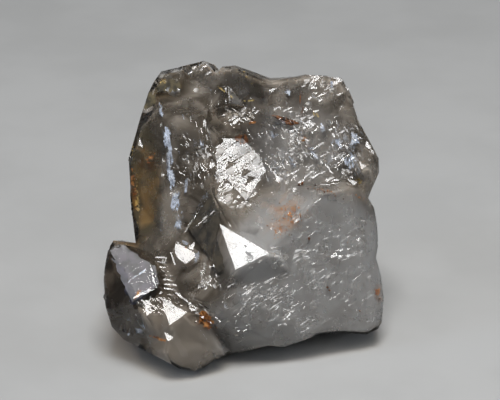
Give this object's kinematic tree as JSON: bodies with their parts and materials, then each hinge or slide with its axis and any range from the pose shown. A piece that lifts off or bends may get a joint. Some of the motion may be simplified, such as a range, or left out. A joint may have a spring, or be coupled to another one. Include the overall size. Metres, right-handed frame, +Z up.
{
  "type": "elestial smoky quartz crystal",
  "caption": "Hand-sized cluster of parallel-grown, etched smoky quartz crystals with a milky lower slab, standing on a flat base with its front face leaning back.",
  "frame": {"origin": "centre of the footprint, on the resting plane", "axes": "+Z up, the leaning front face with the bright crystal towards -Y, +X to the right of that face"},
  "size_m": [0.0557, 0.0525, 0.0514],
  "materials": {
    "smoky_quartz": "clear smoky quartz with milky veils, glassy pyramid faces, etched growth steps and orange iron stains"
  },
  "bodies": {
    "root": {"quartz": "smoky_quartz"}
  },
  "joints": []
}
